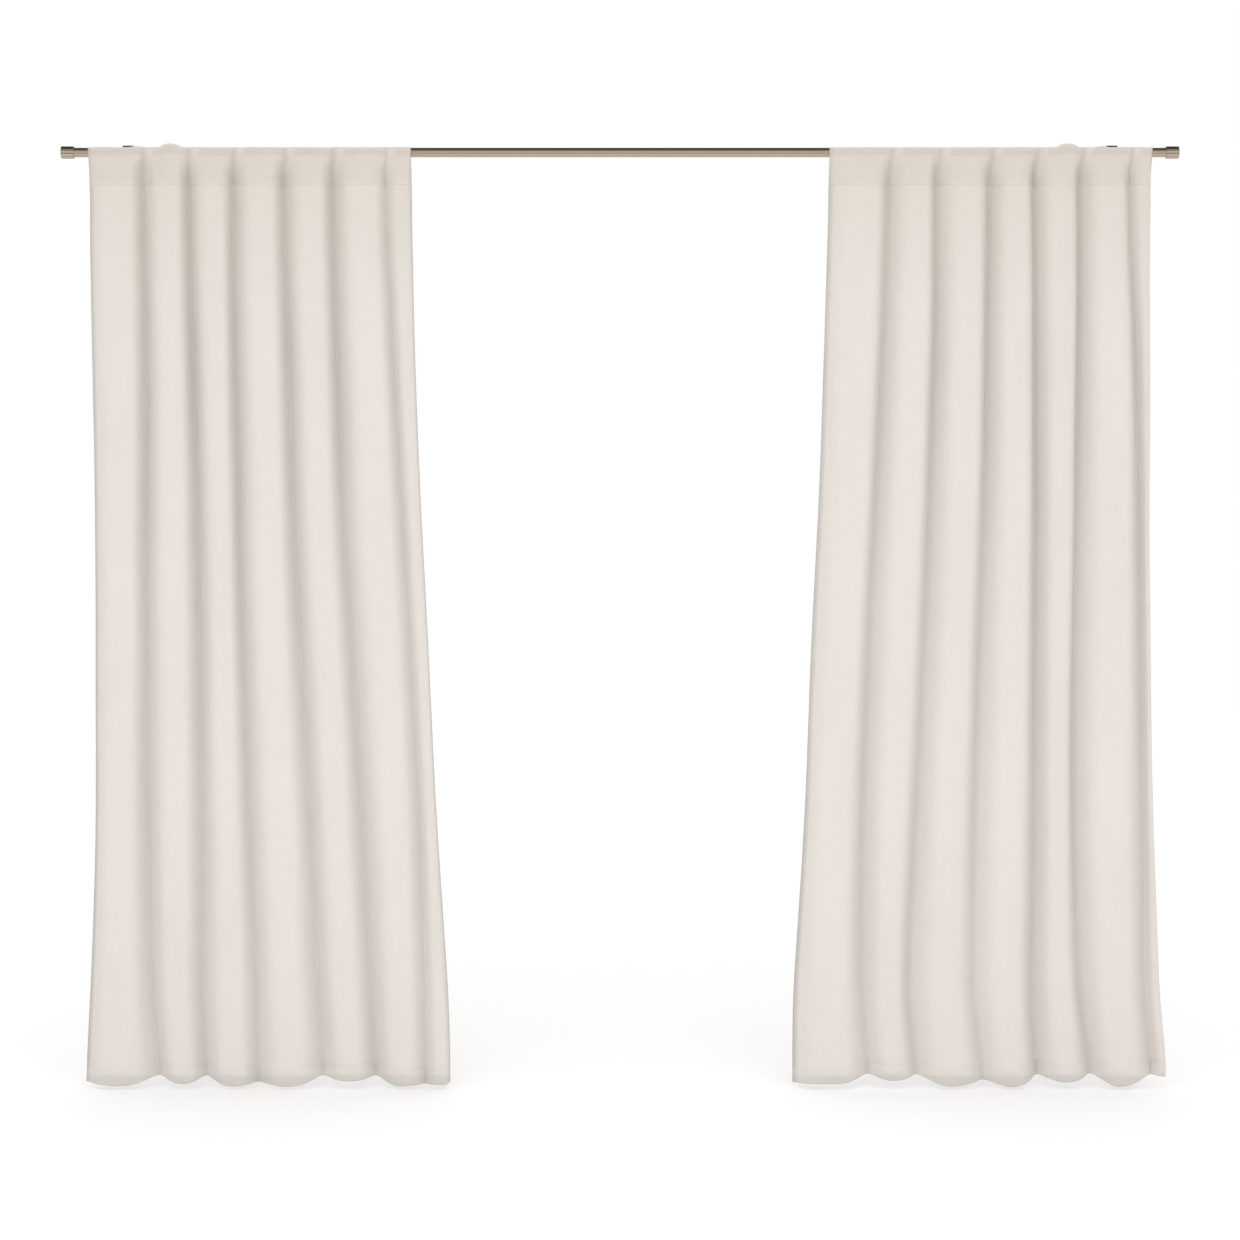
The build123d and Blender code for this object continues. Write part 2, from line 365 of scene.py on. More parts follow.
class Drape:
    """The surface of one hanging panel, by distance across the flat cloth and down it."""

    def __init__(self, panel, cloth):
        self.panel = panel
        self.cloth = cloth
        self.columns = cloth.columns
        widths = np.mean([np.diff(row) for row in FURROWS[panel]], axis=0) + 0.05
        self.edges = np.concatenate([[0], np.cumsum(widths)]) * cloth.flat_width / widths.sum()
        self.across = np.concatenate(
            [np.linspace(a, b, self.columns, endpoint=False) for a, b in zip(self.edges, self.edges[1:])]
            + [[cloth.flat_width]]
        )
        self.down = self.row_places()
        rows = [self.row(d) for d in self.down]
        self.points = np.array([[point for point, rise in row] for row in rows])
        self.rises = [[rise for point, rise in row] for row in rows]
        self.normals = self.front_normals()

    def row_places(self):
        """Distances down the cloth of the mesh rows, closer together at the heading and the hem."""
        heading, hem = self.cloth.heading, self.cloth.hem
        length = CLOTH_LENGTH
        top_band, seam_band, upper, lower = 0.03, 0.006, 0.45, 0.16
        stretches = (
            (0.0, top_band, 14),
            (top_band, heading - seam_band, 12),
            (heading - seam_band, heading + seam_band, 8),
            (heading + seam_band, upper, 28),
            (upper, length - lower, 96),
            (length - lower, length - hem, 14),
            (length - hem, length, 12),
        )
        rows = [np.linspace(a, b, n, endpoint=False) for a, b, n in stretches]
        return np.concatenate(rows + [[length]])

    def row(self, down):
        """The points of one level row, spaced evenly along the cloth between furrows."""
        z = CLOTH_TOP - down
        xs = steady(z, FURROW_HEIGHTS, FURROWS[self.panel])
        xs[1:-1] += FURROW_SLANT * (1 - float(ease(down / SLANT_DEPTH)))
        furrow, ridge = glide(z, DEPTH_HEIGHTS, np.stack([FURROW_DEPTHS, RIDGE_DEPTHS], axis=1))
        lowness = float(ease(down / CLOTH_LENGTH))
        sinks = glide(z, (CLOTH_TOP, -0.4, -2.48), [FURROW_SHARES[self.panel][i] for i in (0, 0, 1)])
        flatness = HEADING_FLATNESS + (HEM_FLATNESS - HEADING_FLATNESS) * lowness
        row = []
        for k in range(PLEATS):
            lean = HEADING_LEAN + (RIDGE_LEANS[self.panel][k] - HEADING_LEAN) * lowness
            depths = (furrow, ridge, sinks[k : k + 2], RIDGE_SHARES[self.panel][k])
            row.append(self.pleat_points(k, xs[k], xs[k + 1], lean, flatness, *depths))
        points = np.concatenate([p[:-1] for p in row] + [row[-1][-1:]])
        return self.soften(points, down, z)

    def pleat_points(self, k, first, last, lean, flatness, furrow, ridge, sinks, stand):
        """One pleat of a row: a broad flat ridge between two narrow furrows, evenly spaced."""
        t = np.linspace(0, 1, 97)
        turn = np.where(t < lean, t / lean, 1 + (t - lean) / (1 - lean))
        rise = ((1 - np.cos(math.pi * turn)) / 2) ** FURROW_POWER
        left = flatness - RIGHT_FLATNESS + EDGE_STEEPNESS * (k == 0)
        right = flatness + RIGHT_FLATNESS + EDGE_STEEPNESS * (k == PLEATS - 1)
        bell = 1 - (1 - rise) ** np.where(turn < 1, left, right)
        x = first + (last - first) * t + OVERHANG * bell * (furrow - ridge)
        centre = (furrow + ridge) / 2
        low = centre + (furrow - centre) * (sinks[0] + (sinks[1] - sinks[0]) * ease(t))
        high = centre + (ridge - centre) * stand
        y = low + (high - low) * bell
        first_lift, last_lift = FURROW_LIFTS[self.panel][k : k + 2]
        foot = first_lift + (last_lift - first_lift) * ease(t)
        foot += (RIDGE_LIFTS[self.panel][k] - foot) * rise
        lengths = np.concatenate([[0], np.cumsum(np.hypot(np.diff(x), np.diff(y)))])
        even = np.linspace(0, lengths[-1], self.columns + 1)
        return np.stack([np.interp(even, lengths, values) for values in (x, y, rise, foot)], axis=1)

    def soften(self, points, down, z):
        """Adds the slow unevenness of real cloth, the lift of the hem and the rise of the top edge."""
        made = []
        side = PANEL_STEP * PANELS.index(self.panel)
        free = float(ease((down - 0.02) / 0.35))
        heading = float(ease(down / 0.03) * (1 - ease((down - 0.12) / 0.25)))
        for x, y, rise, foot in points:
            waves = sum(uneven(wave, x, z, side) for wave in (SLOW_WAVE, FINE_WAVE, CRISP_WAVE))
            pull = uneven(HEADING_PULL, x + z * PULL_SLANT, z, side)
            y_new = y + free * waves + heading * pull + self.seam_dent(down) + self.hem_curl(down, rise)
            x_new = x + free * uneven(SIDE_DRIFT, x, z, side)
            made.append(((x_new, y_new, z + self.level(x, down, foot)), rise))
        return made

    def seam_dent(self, down):
        """The stitches under the header draw the cloth in along a line."""
        return SEAM_DENT * math.exp(-(((down - self.cloth.heading) / SEAM_HALF_WIDTH) ** 2))

    def hem_curl(self, down, rise):
        """The foot of each ridge curls back towards the wall."""
        t = (down - (CLOTH_LENGTH - self.cloth.hem)) / self.cloth.hem
        return HEM_CURL * rise * max(0.0, t) ** 2

    def level(self, x, down, foot):
        """How far a point is lifted: the foot of each fold, and a fold or two of the heading."""
        near_hem = 1 - float(ease((CLOTH_LENGTH - down) / HEM_LIFT_REACH))
        near_edge = 1 - float(ease(down / 0.03))
        lift = (foot + uneven(HEM_WAVE, x, 0.0)) * near_hem
        lift += uneven(EDGE_WAVE, x, 0.0) * near_edge
        for start, end, height in RISES[self.panel]:
            t = (x - start) / (end - start)
            if 0 < t < 1:
                lift += height * math.sin(math.pi * t) ** 0.6 * (1 - float(ease(down / 0.05)))
        return lift

    def shade(self, i, j):
        """The tone of the cloth at a mesh point, painted with light and shade: where it is double, where the
        rod shows, in folds, under the header and at the hem.
        """
        across, down, rise = self.across[i], self.down[j], self.rises[j][i]
        cloth = self.cloth
        if down < cloth.heading:
            # Painted light: the doubled header's tone stands in for how its two layers pass the light
            tone = Vector(cloth.doubled)
        else:
            # Painted shade just under the header, where less light comes up from the floor
            near = 1 - float(ease((down - cloth.heading) / UNDER_HEADER_REACH))
            tone = Vector((1.0, 1.0, 1.0)) - near * UNDER_HEADER_PAINTED_SHADE
        if down > CLOTH_LENGTH - cloth.hem:
            # Painted light that brightens the hem
            tone *= HEM_PAINTED_LIGHT
        side = min(across, cloth.flat_width - across)
        # Painted shade along the side hems, deeper lower down
        side_hem = ease((cloth.side_hem - side) / 0.004) * ease(down / CLOTH_LENGTH)
        # Painted shade in the furrows
        furrow = 1 - ease(rise / FURROW_SHADE_RISE)
        # Painted shade on the underside of the hem's scallops
        line = CLOTH_TOP - CLOTH_LENGTH + SCALLOP_HEIGHT + SCALLOP_RISE * rise
        scallop = ease((line - self.points[j][i][2]) / 0.004)
        # Shares of painted shade at the side hems, in the furrows, behind the rod and under the scallops
        painted_shades = (
            (SIDE_HEM_PAINTED_SHADE, side_hem),
            (FURROW_PAINTED_SHADE, furrow),
            (1 - cloth.rod_painted_tone, self.rod_painted_shade(across, down)),
            (SCALLOP_PAINTED_SHADE, scallop),
        )
        for share, amount in painted_shades:
            tone *= 1 - share * float(amount)
        return (*tone, 1.0)

    def rod_painted_shade(self, across, down):
        """How strongly the rod's painted shadow shows through the cloth at a place, with a gap at each
        furrow.
        """
        (top, top_soft), (foot, foot_soft) = ROD_PAINTED_SHADE
        gap, gap_soft = ROD_SHADE_GAP
        rod = ease((down - top) / top_soft) * (1 - ease((down - foot) / foot_soft))
        past = min((across - edge) % self.cloth.flat_width for edge in self.edges[1:-1])
        return rod * ease((past - gap) / gap_soft)

    def front_normals(self):
        """The direction that faces the room at every point."""
        along = np.gradient(self.points, axis=1)
        downwards = np.gradient(self.points, axis=0)
        normals = np.cross(downwards, along)
        return normals / np.maximum(np.linalg.norm(normals, axis=2, keepdims=True), 1e-9)

    def place(self, across, down, lift=0.0):
        """A point of the cloth, lifted towards the room."""
        i = float(np.interp(across, self.across, np.arange(len(self.across))))
        j = float(np.interp(down, self.down, np.arange(len(self.down))))
        i0, j0 = min(int(i), len(self.across) - 2), min(int(j), len(self.down) - 2)
        u, v = i - i0, j - j0
        weights = ((1 - v) * (1 - u), (1 - v) * u, v * (1 - u), v * u)
        corners = ((j0, i0), (j0, i0 + 1), (j0 + 1, i0), (j0 + 1, i0 + 1))
        point = sum(w * self.points[c] for w, c in zip(weights, corners))
        normal = sum(w * self.normals[c] for w, c in zip(weights, corners))
        return Vector(point + normal * lift / max(np.linalg.norm(normal), 1e-9))


DRAPES = {}


def drape(panel):
    """The hanging surface of a panel, worked out once."""
    if panel not in DRAPES:
        DRAPES[panel] = Drape(panel, bpy.context.scene.curtain_cloth)
    return DRAPES[panel]


def hang(obj):
    """Bakes a piece of the panel's placement into its mesh."""
    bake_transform(obj)


def add_object(name, bm, material, smooth=True):
    """Turns a bmesh into an object of one material."""
    mesh = bpy.data.meshes.new(name)
    for face in bm.faces:
        face.smooth = smooth
    bm.to_mesh(mesh)
    bm.free()
    obj = bpy.data.objects.new(name, mesh)
    bpy.context.scene.collection.objects.link(obj)
    mesh.materials.append(material)
    return obj


# How far the turned cloth, the stitches on its back and the heading tape lie behind the face cloth,
# in thicknesses of the cloth
TURNED_LIFT = -1.1
BACK_STITCH_LIFT = -2.15
TAPE_LIFT = -2.3


def cloth_patch(name, panel, across, down, lift, segments, material):
    """A rectangle of cloth that lies on the panel, with its own flat size as its UV map."""
    surface = drape(panel)
    bm = bmesh.new()
    uv = bm.loops.layers.uv.new("Flat")
    tone = bm.verts.layers.float_color.new("Tone")
    bmesh.ops.create_grid(bm, x_segments=segments[0], y_segments=segments[1], size=1.0)
    flat = {}
    for vert in bm.verts:
        vert[tone] = PLAIN_TONE
        u = across[0] + (across[1] - across[0]) * (vert.co.x + 1) / 2
        v = down[0] + (down[1] - down[0]) * (1 - vert.co.y) / 2
        flat[vert] = (u, v)
    for face in bm.faces:
        for loop in face.loops:
            u, v = flat[loop.vert]
            loop[uv].uv = (u, -v)
    for vert in bm.verts:
        vert.co = surface.place(*flat[vert], lift)
    bmesh.ops.recalc_face_normals(bm, faces=bm.faces)
    return add_object(name, bm, material)


def thicken(obj, thickness, offset):
    """Gives a sheet its thickness."""
    solid = obj.modifiers.new("Thickness", "SOLIDIFY")
    solid.thickness = thickness
    solid.offset = offset
    return obj


def face_room(obj):
    """Turns a sheet's faces to the room."""
    mesh = obj.data
    if sum(p.normal.y * p.area for p in mesh.polygons) > 0:
        mesh.flip_normals()


def main_sheet(panel, material):
    """The panel's own cloth, one row of mesh for each row of the drape."""
    surface = drape(panel)
    bm = bmesh.new()
    uv = bm.loops.layers.uv.new("Flat")
    columns, rows = len(surface.across) - 1, len(surface.down) - 1
    bmesh.ops.create_grid(bm, x_segments=columns, y_segments=rows, size=1.0)
    places = {}
    tone = bm.verts.layers.float_color.new("Tone")
    for vert in bm.verts:
        i = round((vert.co.x + 1) / 2 * columns)
        j = round((1 - vert.co.y) / 2 * rows)
        places[vert] = (j, i)
        # The Tone attribute carries the painted light and shade of the cloth
        vert[tone] = surface.shade(i, j)
    for face in bm.faces:
        for loop in face.loops:
            j, i = places[loop.vert]
            loop[uv].uv = (surface.across[i], -surface.down[j])
    for vert in bm.verts:
        vert.co = Vector(surface.points[places[vert]])
    return add_object(f"{panel}_curtain", bm, material)


def turnings(panel, cloth, material, tape_material):
    """The cloth turned to the back at the heading, the hem and the sides, and the heading tape."""
    width, length = cloth.flat_width, CLOTH_LENGTH
    across = len(drape(panel).across) - 1
    turned = (
        ("header_turning", (0.0, width), (0.001, cloth.heading), (across, 26)),
        ("bottom_hem", (0.0, width), (length - cloth.hem, length), (across, 12)),
        ("left_side_hem", (0.0, cloth.side_hem), (cloth.heading, length - cloth.hem), (4, 150)),
        ("right_side_hem", (width - cloth.side_hem, width), (cloth.heading, length - cloth.hem), (4, 150)),
    )
    pieces = []
    lift = TURNED_LIFT * cloth.thickness
    for name, u, v, segments in turned:
        pieces.append(cloth_patch(f"{panel}_{name}", panel, u, v, lift, segments, material))
    inset = 0.006
    u, v = (inset, width - inset), (0.014, cloth.heading - inset)
    lift = TAPE_LIFT * cloth.thickness
    pieces.append(cloth_patch(f"{panel}_heading_tape", panel, u, v, lift, (across, 20), tape_material))
    for piece in pieces:
        face_room(piece)
        thicken(piece, cloth.thickness, -1.0)
    return pieces


def sew(surface, path, pitch, lift):
    """The two ends of each stitch of a row along a path of (across, down) points of the cloth."""
    (u0, v0), (u1, v1) = path
    count = int(math.hypot(u1 - u0, v1 - v0) / pitch)
    gap = 0.16
    strands = []
    for n in range(count):
        a, b = (n + gap) / count, (n + 1 - gap) / count
        start = surface.place(u0 + (u1 - u0) * a, v0 + (v1 - v0) * a, lift)
        end = surface.place(u0 + (u1 - u0) * b, v0 + (v1 - v0) * b, lift)
        strands.append((start, end))
    return strands


def add_stitch(bm, start, end, radius):
    """One stitch: a short rounded strand between two points."""
    turn = (end - start).to_track_quat("Z", "Y").to_matrix().to_4x4()
    size = Matrix.Diagonal((radius, radius, (end - start).length / 2, 1.0))
    place = Matrix.Translation((start + end) / 2) @ turn @ size
    bmesh.ops.create_uvsphere(bm, u_segments=6, v_segments=4, radius=1.0, matrix=place)


def strands_object(name, strands, radius, material, batch=40):
    """All the stitches of a piece as one object, joined a few at a time to keep it quick."""
    whole = bmesh.new()
    for first in range(0, len(strands), batch):
        few = bmesh.new()
        for start, end in strands[first : first + batch]:
            add_stitch(few, start, end, radius)
        mesh = bpy.data.meshes.new("strands")
        few.to_mesh(mesh)
        few.free()
        whole.from_mesh(mesh)
        bpy.data.meshes.remove(mesh)
    return add_object(name, whole, material)


def stitching(panel, cloth, material):
    """The row of stitches under the header, and the blind rows on the back of the hems."""
    surface = drape(panel)
    width, length = cloth.flat_width, CLOTH_LENGTH
    inset = cloth.side_hem - 0.002
    seam, hem = cloth.heading - 0.001, length - cloth.hem + 0.002
    front, back = 0.0001, BACK_STITCH_LIFT * cloth.thickness
    rows = (
        (((0.0, seam), (width, seam)), 0.0035, front),
        (((0.0, hem), (width, hem)), 0.004, back),
        (((inset, seam), (inset, hem)), 0.0045, back),
        (((width - inset, seam), (width - inset, hem)), 0.0045, back),
    )
    strands = [strand for path, pitch, lift in rows for strand in sew(surface, path, pitch, lift)]
    return strands_object(f"{panel}_stitching", strands, 0.00035, material)


def body_of(node):
    """The body that a CAD node moves with."""
    for body, nodes in frame["record"]["behaviour"]["bodies"].items():
        if node in nodes:
            return body
    raise RuntimeError(f"{node} is on no body")


def tab_line(node, count):
    """Points along a tab's loop, seen from the rod's end: round the rod and down behind the heading."""
    low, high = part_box(node)
    half = TAB_THICK / 2
    reach = high[1] - ROD_AXIS.y - half
    foot = Vector((low[1] + 2 * half, low[2] + 2 * half))
    head = Vector((foot.x, HEADING_EDGE - 0.0035))
    circles = ((Vector((ROD_AXIS.y, ROD_AXIS.z)), reach), (head, half), (foot, half))
    hull = []
    turns = 120
    for n in range(turns + 1):
        turn = math.tau * n / turns - math.pi * 0.75
        out = Vector((math.cos(turn), math.sin(turn)))
        centre, radius = max(circles, key=lambda c: c[0].dot(out) + c[1])
        hull.append(centre + out * radius)
    steps = [(b - a).length for a, b in zip(hull, hull[1:])]
    lengths = np.concatenate([[0], np.cumsum(steps)])
    even = np.linspace(0, lengths[-1], count + 1)
    return [np.interp(even, lengths, [p[axis] for p in hull]) for axis in (0, 1)], float(lengths[-1])


def tab_loop(node, material):
    """A flat strip of doubled cloth sewn into a loop, with slightly rolled and puckered edges."""
    count, roll, pucker_size = 64, 0.0003, 0.0002
    (ys, zs), length = tab_line(node, count)
    x = middle(node).x
    bm = bmesh.new()
    uv = bm.loops.layers.uv.new("Flat")
    tone = bm.verts.layers.float_color.new("Tone")
    bmesh.ops.create_grid(bm, x_segments=8, y_segments=count, size=1.0)
    flat = {}
    for vert in bm.verts:
        vert[tone] = EDGE_TONE if abs(vert.co.x) > 0.8 else PLAIN_TONE
        flat[vert] = (vert.co.x, round((vert.co.y + 1) / 2 * count))
    for face in bm.faces:
        for loop in face.loops:
            u, v = flat[loop.vert]
            loop[uv].uv = (x + u * TAB_WIDTH / 2, length * v / count)
    centre = Vector((ROD_AXIS.y, ROD_AXIS.z))
    for vert, (u, v) in flat.items():
        point = Vector((ys[v], zs[v]))
        inward = (centre - point).normalized() * roll * u**4
        pucker = pucker_size * math.sin(v * 1.9) * abs(u) ** 3
        vert.co = (x + u * TAB_WIDTH / 2, point.x + inward.x + pucker, point.y + inward.y)
    bmesh.ops.remove_doubles(bm, verts=bm.verts, dist=0.00005)
    bmesh.ops.recalc_face_normals(bm, faces=bm.faces)
    obj = add_object(node.replace("_tab_", "_back_tab_"), bm, material)
    return thicken(obj, TAB_THICK * 0.9, 0.0), length


def tab_stitching(node, material):
    """Bars of close stitches at the head and foot of a tab, and a row near each edge of its back."""
    low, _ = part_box(node)
    x = middle(node).x
    back = low[1] + TAB_THICK + 0.0002
    half = TAB_WIDTH / 2 - 0.0025
    strands = []
    under_rod = ROD_AXIS.z - ROD_RADIUS
    bar, count, gap = 10, 56, 0.1
    for z in (low[2] + 0.006, low[2] + 0.009, under_rod - 0.008, under_rod - 0.011):
        for n in range(bar):
            a, b = (x - half + 2 * half * (n + part) / bar for part in (gap, 1 - gap))
            strands.append((Vector((a, back, z)), Vector((b, back, z))))
    (ys, zs), _ = tab_line(node, count)
    for side in (-1, 1):
        for n in range(count):
            if ys[n] < low[1] + 3 * TAB_THICK:
                continue
            out = Vector((0.0, ys[n] - ROD_AXIS.y, zs[n])).normalized() * TAB_THICK / 2
            start = Vector((x + side * half, ys[n], zs[n])) + out
            end = Vector((x + side * half, ys[n + 1], zs[n + 1])) + out
            strands.append((start.lerp(end, 0.15), start.lerp(end, 0.85)))
    return strands_object(node.replace("_tab_", "_tab_stitches_"), strands, 0.0003, material)


# ---------------------------------------------------------------- materials


def new_material(name):
    """An empty node material and its tree."""
    material = bpy.data.materials.new(name)
    material.use_nodes = True
    material.node_tree.nodes.clear()
    return material, material.node_tree


def add(tree, kind, **values):
    """A node with its input values, or properties, set by name."""
    node = tree.nodes.new(kind)
    for name, value in values.items():
        key = name.replace("_", " ").title()
        if key in node.inputs:
            node.inputs[key].default_value = value
        else:
            setattr(node, name, value)
    return node


def scaled_colour(tree, colour, factor):
    """A colour made lighter or darker by a factor."""
    scaled = tree.nodes.new("ShaderNodeVectorMath")
    scaled.operation = "SCALE"
    if isinstance(colour, bpy.types.NodeSocket):
        tree.links.new(colour, scaled.inputs[0])
    else:
        scaled.inputs[0].default_value = colour
    tree.links.new(factor, scaled.inputs["Scale"])
    return scaled.outputs[0]


def spread(tree, value, low, high):
    """A value from 0 to 1 spread between two others."""
    node = add(tree, "ShaderNodeMapRange")
    node.inputs["To Min"].default_value = low
    node.inputs["To Max"].default_value = high
    tree.links.new(value, node.inputs["Value"])
    return node.outputs[0]


def finish_material(tree, shader):
    """Links the material's shader to its output."""
    out = tree.nodes.new("ShaderNodeOutputMaterial")
    tree.links.new(shader, out.inputs["Surface"])


def weave_group():
    """Threads, slubs and cloudy shade on a flat map in metres, as a colour factor and a height."""
    name = "Slub Weave"
    if name in bpy.data.node_groups:
        return bpy.data.node_groups[name]
    tree = bpy.data.node_groups.new(name, "ShaderNodeTree")
    face = tree.interface
    face.new_socket("Vector", in_out="INPUT", socket_type="NodeSocketVector")
    for label, default in (("Threads", 900.0), ("Slub", 0.5), ("Cloud", 0.5)):
        socket = face.new_socket(label, in_out="INPUT", socket_type="NodeSocketFloat")
        socket.default_value = default
    face.new_socket("Shade", in_out="OUTPUT", socket_type="NodeSocketFloat")
    face.new_socket("Height", in_out="OUTPUT", socket_type="NodeSocketFloat")
    link = tree.links.new
    start, end = tree.nodes.new("NodeGroupInput"), tree.nodes.new("NodeGroupOutput")

    def scaled(x, y):
        node = add(tree, "ShaderNodeMapping")
        node.inputs["Scale"].default_value = (x, y, 1.0)
        link(start.outputs["Vector"], node.inputs["Vector"])
        return node.outputs["Vector"]

    def math_node(operation, a, b):
        node = tree.nodes.new("ShaderNodeMath")
        node.operation = operation
        for socket, value in zip(node.inputs, (a, b)):
            if isinstance(value, (int, float)):
                socket.default_value = value
            else:
                link(value, socket)
        return node.outputs[0]

    split = tree.nodes.new("ShaderNodeSeparateXYZ")
    link(start.outputs["Vector"], split.inputs[0])
    turns = math_node("MULTIPLY", start.outputs["Threads"], math.tau)
    warp, weft = (math_node("SINE", math_node("MULTIPLY", split.outputs[axis], turns), 0) for axis in "XY")
    threads = math_node("MULTIPLY", warp, weft)
    long_slub = add(tree, "ShaderNodeTexNoise", scale=1.0, detail=3.0)
    link(scaled(420.0, 14.0), long_slub.inputs["Vector"])
    cross_slub = add(tree, "ShaderNodeTexNoise", scale=1.0, detail=3.0)
    link(scaled(11.0, 460.0), cross_slub.inputs["Vector"])
    cloud = add(tree, "ShaderNodeTexNoise", scale=1.0, detail=4.0)
    link(scaled(7.0, 2.2), cloud.inputs["Vector"])
    slubs = math_node("SUBTRACT", math_node("ADD", long_slub.outputs[0], cross_slub.outputs[0]), 1.0)
    shade = math_node("MULTIPLY", slubs, start.outputs["Slub"])
    drift = math_node("MULTIPLY", math_node("SUBTRACT", cloud.outputs[0], 0.5), start.outputs["Cloud"])
    thread_shade = math_node("MULTIPLY", threads, 0.02)
    total = math_node("ADD", math_node("ADD", shade, drift), thread_shade)
    link(math_node("ADD", total, 1.0), end.inputs["Shade"])
    link(math_node("ADD", math_node("MULTIPLY", threads, 0.35), slubs), end.inputs["Height"])
    return tree


def cloth_material(name, colour, see_through, threads=850.0, slub=0.07):
    """Woven cloth that lets some light through, patterned by its flat map."""
    material, tree = new_material(name)
    link = tree.links.new
    flat = add(tree, "ShaderNodeUVMap", uv_map="Flat")
    weave = tree.nodes.new("ShaderNodeGroup")
    weave.node_tree = weave_group()
    weave.inputs["Threads"].default_value = threads
    weave.inputs["Slub"].default_value = slub
    weave.inputs["Cloud"].default_value = 0.05
    link(flat.outputs["UV"], weave.inputs["Vector"])
    # The Tone attribute carries painted light and shade, multiplied into the cloth colour
    tone = add(tree, "ShaderNodeAttribute", attribute_name="Tone")
    toned = tree.nodes.new("ShaderNodeVectorMath")
    toned.operation = "MULTIPLY"
    toned.inputs[0].default_value = colour
    link(tone.outputs["Color"], toned.inputs[1])
    tint = scaled_colour(tree, toned.outputs[0], weave.outputs["Shade"])
    bump = add(tree, "ShaderNodeBump", strength=0.35, distance=0.0004)
    link(weave.outputs["Height"], bump.inputs["Height"])
    surface = add(tree, "ShaderNodeBsdfPrincipled", roughness=0.9)
    surface.inputs["Sheen Weight"].default_value = 0.12
    surface.inputs["Sheen Roughness"].default_value = 0.5
    surface.inputs["Specular IOR Level"].default_value = 0.2
    through = tree.nodes.new("ShaderNodeBsdfTranslucent")
    mix = tree.nodes.new("ShaderNodeMixShader")
    mix.inputs[0].default_value = see_through
    link(tint, surface.inputs["Base Color"])
    link(tint, through.inputs["Color"])
    link(bump.outputs["Normal"], surface.inputs["Normal"])
    link(bump.outputs["Normal"], through.inputs["Normal"])
    link(surface.outputs[0], mix.inputs[1])
    link(through.outputs[0], mix.inputs[2])
    finish_material(tree, mix.outputs[0])
    return material


def thread_material(name, colour):
    """Twisted sewing thread with a slight sheen."""
    material, tree = new_material(name)
    link = tree.links.new
    place = add(tree, "ShaderNodeTexCoord")
    twist = add(tree, "ShaderNodeTexWave", scale=900.0, distortion=2.0)
    link(place.outputs["Object"], twist.inputs["Vector"])
    tint = spread(tree, twist.outputs["Fac"], 0.88, 1.0)
    bump = add(tree, "ShaderNodeBump", strength=0.4, distance=0.0001)
    link(twist.outputs["Fac"], bump.inputs["Height"])
    surface = add(tree, "ShaderNodeBsdfPrincipled", roughness=0.6)
    link(scaled_colour(tree, colour, tint), surface.inputs["Base Color"])
    link(bump.outputs[0], surface.inputs["Normal"])
    finish_material(tree, surface.outputs[0])
    return material


def metal_material(name, colour, roughness, grain):
    """Plated metal with fine draw marks along the rod and slight unevenness of polish."""
    material, tree = new_material(name)
    link = tree.links.new
    place = add(tree, "ShaderNodeTexCoord")
    stretch = add(tree, "ShaderNodeMapping")
    stretch.inputs["Scale"].default_value = (6.0, 900.0, 900.0)
    link(place.outputs["Object"], stretch.inputs["Vector"])
    marks = add(tree, "ShaderNodeTexNoise", scale=1.0, detail=2.0)
    link(stretch.outputs[0], marks.inputs["Vector"])
    smudge = add(tree, "ShaderNodeTexNoise", scale=9.0, detail=4.0)
    link(place.outputs["Object"], smudge.inputs["Vector"])
    rough = spread(tree, smudge.outputs[0], roughness * 0.75, roughness * 1.35)
    tint = spread(tree, marks.outputs[0], 0.94, 1.04)
    bump = add(tree, "ShaderNodeBump", strength=grain, distance=0.00005)
    link(marks.outputs[0], bump.inputs["Height"])
    surface = add(tree, "ShaderNodeBsdfPrincipled", metallic=1.0)
    link(scaled_colour(tree, colour, tint), surface.inputs["Base Color"])
    link(rough, surface.inputs["Roughness"])
    link(bump.outputs[0], surface.inputs["Normal"])
    finish_material(tree, surface.outputs[0])
    return material


def floor_material():
    """Plain pale floor with a faint mottle."""
    material, tree = new_material("Pale Floor")
    link = tree.links.new
    place = add(tree, "ShaderNodeTexCoord")
    mottle = add(tree, "ShaderNodeTexNoise", scale=2.0, detail=3.0)
    link(place.outputs["Object"], mottle.inputs["Vector"])
    surface = add(tree, "ShaderNodeBsdfPrincipled", roughness=0.8)
    link(spread(tree, mottle.outputs[0], 0.97, 0.99), surface.inputs["Base Color"])
    finish_material(tree, surface.outputs[0])
    return material


# ---------------------------------------------------------------- operators


class CURTAIN_OT_panels(bpy.types.Operator):
    """Hangs both panels, each one sheet of cloth, with its turnings, heading tape and stitching"""

    bl_idname = "curtain.panels"
    bl_label = "Hang Panels"

    def execute(self, context):
        cloth = context.scene.curtain_cloth
        face = cloth_material("Curtain Linen", cloth.colour, cloth.see_through)
        turned = cloth_material("Turned Linen", cloth.colour, 0.7)
        tape = cloth_material("Heading Tape", cloth.tape, 0.6, threads=500.0, slub=0.03)
        thread = thread_material("Sewing Thread", cloth.thread)
        for panel in PANELS:
            obj = main_sheet(panel, face)
            face_room(obj)
            thicken(obj, cloth.thickness, -1.0)
            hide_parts(*[f"{panel}_pleat_{k + 1}" for k in range(PLEATS)])
            pieces = turnings(panel, cloth, turned, tape) + [stitching(panel, cloth, thread)]
            for piece in [obj] + pieces:
                hang(piece)
        return {"FINISHED"}


